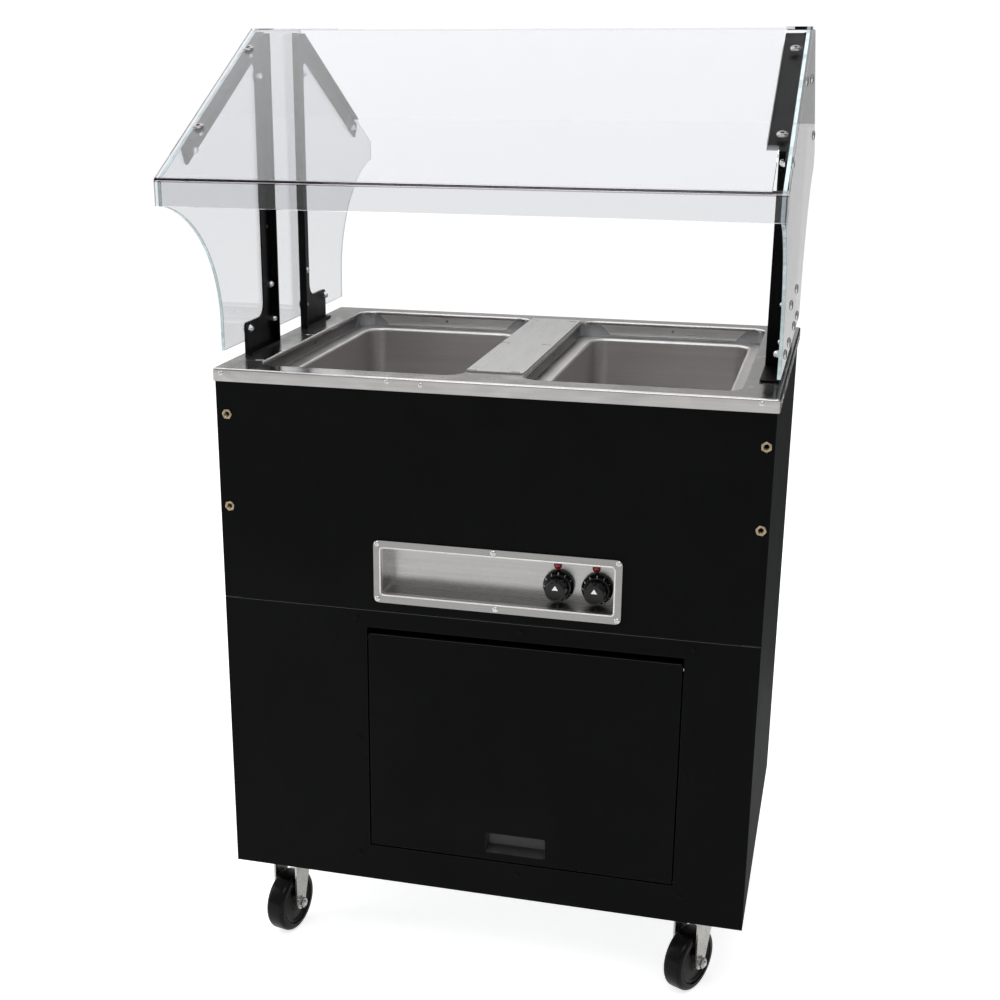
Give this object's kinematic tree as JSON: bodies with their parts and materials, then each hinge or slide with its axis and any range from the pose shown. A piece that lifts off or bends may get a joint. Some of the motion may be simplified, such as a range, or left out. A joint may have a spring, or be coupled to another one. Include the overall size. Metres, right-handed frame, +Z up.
{
  "type": "steam table unit",
  "caption": "Mobile electric steam table with open wells, a clear food guard, a recessed control panel, a swing-up retractable door and swivel casters.",
  "frame": {"origin": "on the floor, below the middle of the counter's width and of the food guard's depth", "axes": "+X to the right along the counter seen from the front, +Y from the front to the back, +Z up"},
  "size_m": [0.808, 0.8957, 1.4182],
  "materials": {
    "stainless_counter": "fine brushed with a bright polish",
    "well_steel": "brushed, slightly heat-tinted",
    "galvanised_sheet": "dull galvanised",
    "element_sheath": "dark oxidised sheath",
    "black_paint": "satin black powder coat",
    "stainless_trim": "fine brushed",
    "black_plastic": "satin moulded",
    "phenolic": "matte moulded",
    "plated_steel": "bright plated",
    "red_lens": "clear red lens",
    "zinc_plate": "bright zinc plate with a yellow cast",
    "caster_rubber": "smooth hard rubber",
    "clear_acrylic": "clear polished acrylic"
  },
  "bodies": {
    "cabinet": {"bezel": "stainless_trim", "cabinet_floor": "galvanised_sheet", "caster_plate_front_left": "zinc_plate", "caster_plate_front_right": "zinc_plate", "caster_plate_rear_left": "zinc_plate", "caster_plate_rear_right": "zinc_plate", "control_tray": "stainless_trim", "cord_gland": "black_plastic", "corner_post_front_left": "galvanised_sheet", "corner_post_front_right": "galvanised_sheet", "corner_post_rear_left": "galvanised_sheet", "corner_post_rear_right": "galvanised_sheet", "counter_top": "stainless_counter", "deck": "galvanised_sheet", "divider_plate": "stainless_counter", "door_track_left": "galvanised_sheet", "door_track_right": "galvanised_sheet", "end_panel_left": "clear_acrylic", "end_panel_right": "clear_acrylic", "front_guard_panel": "clear_acrylic", "guard_bracket_front_left": "black_paint", "guard_bracket_front_right": "black_paint", "guard_bracket_rear_left": "black_paint", "guard_bracket_rear_right": "black_paint", "heating_element_left": "element_sheath", "heating_element_right": "element_sheath", "indicator_lamp_left": "red_lens", "indicator_lamp_right": "red_lens", "lower_front_frame": "black_paint", "rear_panel": "black_paint", "side_panel_left": "black_paint", "side_panel_right": "black_paint", "terminal_block": "phenolic", "thermostat_left": "phenolic", "thermostat_right": "phenolic", "upper_front_panel": "black_paint", "well_housing_left": "galvanised_sheet", "well_housing_right": "galvanised_sheet", "well_pan_left": "well_steel", "well_pan_right": "well_steel"},
    "door_carriage": {"door_carriage": "plated_steel"},
    "door": {"door": "black_paint", "door_pull": "black_plastic"},
    "knob_left": {"knob_left": "black_plastic", "thermostat_shaft_left": "plated_steel"},
    "knob_right": {"knob_right": "black_plastic", "thermostat_shaft_right": "plated_steel"},
    "swivel_front_left": {"caster_fork_front_left": "zinc_plate", "axle_front_left": "zinc_plate"},
    "wheel_front_left": {"wheel_front_left": "caster_rubber"},
    "swivel_front_right": {"caster_fork_front_right": "zinc_plate", "axle_front_right": "zinc_plate"},
    "wheel_front_right": {"wheel_front_right": "caster_rubber"},
    "swivel_rear_left": {"caster_fork_rear_left": "zinc_plate", "axle_rear_left": "zinc_plate"},
    "wheel_rear_left": {"wheel_rear_left": "caster_rubber"},
    "swivel_rear_right": {"caster_fork_rear_right": "zinc_plate", "axle_rear_right": "zinc_plate"},
    "wheel_rear_right": {"wheel_rear_right": "caster_rubber"}
  },
  "joints": [
    {"name": "door_slide", "type": "slide", "parent": "cabinet", "child": "door_carriage", "axis": [0, 1, 0], "range_m": [0, 0.35]},
    {"name": "door_swing", "type": "hinge", "parent": "door_carriage", "child": "door", "pos_m": [0.06, -0.287, 0.549], "axis": [-1, 0, 0], "range_deg": [0, 90]},
    {"name": "knob_left_turn", "type": "hinge", "parent": "cabinet", "child": "knob_left", "pos_m": [0.1065, -0.2585, 0.65], "axis": [0, 1, 0], "range_deg": [0, 300]},
    {"name": "knob_right_turn", "type": "hinge", "parent": "cabinet", "child": "knob_right", "pos_m": [0.163, -0.2585, 0.65], "axis": [0, 1, 0], "range_deg": [0, 300]},
    {"name": "caster_front_left_swivel", "type": "hinge", "parent": "cabinet", "child": "swivel_front_left", "pos_m": [-0.331, -0.215, 0.125], "axis": [0, 0, 1], "continuous": true},
    {"name": "caster_front_left_roll", "type": "hinge", "parent": "swivel_front_left", "child": "wheel_front_left", "pos_m": [-0.3362, -0.23945, 0.05], "axis": [0.9781, -0.2079, 0], "continuous": true},
    {"name": "caster_front_right_swivel", "type": "hinge", "parent": "cabinet", "child": "swivel_front_right", "pos_m": [0.331, -0.215, 0.125], "axis": [0, 0, 1], "continuous": true},
    {"name": "caster_front_right_roll", "type": "hinge", "parent": "swivel_front_right", "child": "wheel_front_right", "pos_m": [0.32004, -0.23747, 0.05], "axis": [0.8988, -0.4384, 0], "continuous": true},
    {"name": "caster_rear_left_swivel", "type": "hinge", "parent": "cabinet", "child": "swivel_rear_left", "pos_m": [-0.331, 0.187, 0.125], "axis": [0, 0, 1], "continuous": true},
    {"name": "caster_rear_left_roll", "type": "hinge", "parent": "swivel_rear_left", "child": "wheel_rear_left", "pos_m": [-0.33405, 0.16219, 0.05], "axis": [0.9925, -0.1219, 0], "continuous": true},
    {"name": "caster_rear_right_swivel", "type": "hinge", "parent": "cabinet", "child": "swivel_rear_right", "pos_m": [0.331, 0.187, 0.125], "axis": [0, 0, 1], "continuous": true},
    {"name": "caster_rear_right_roll", "type": "hinge", "parent": "swivel_rear_right", "child": "wheel_rear_right", "pos_m": [0.33577, 0.16246, 0.05], "axis": [0.9816, 0.1908, 0], "continuous": true}
  ]
}
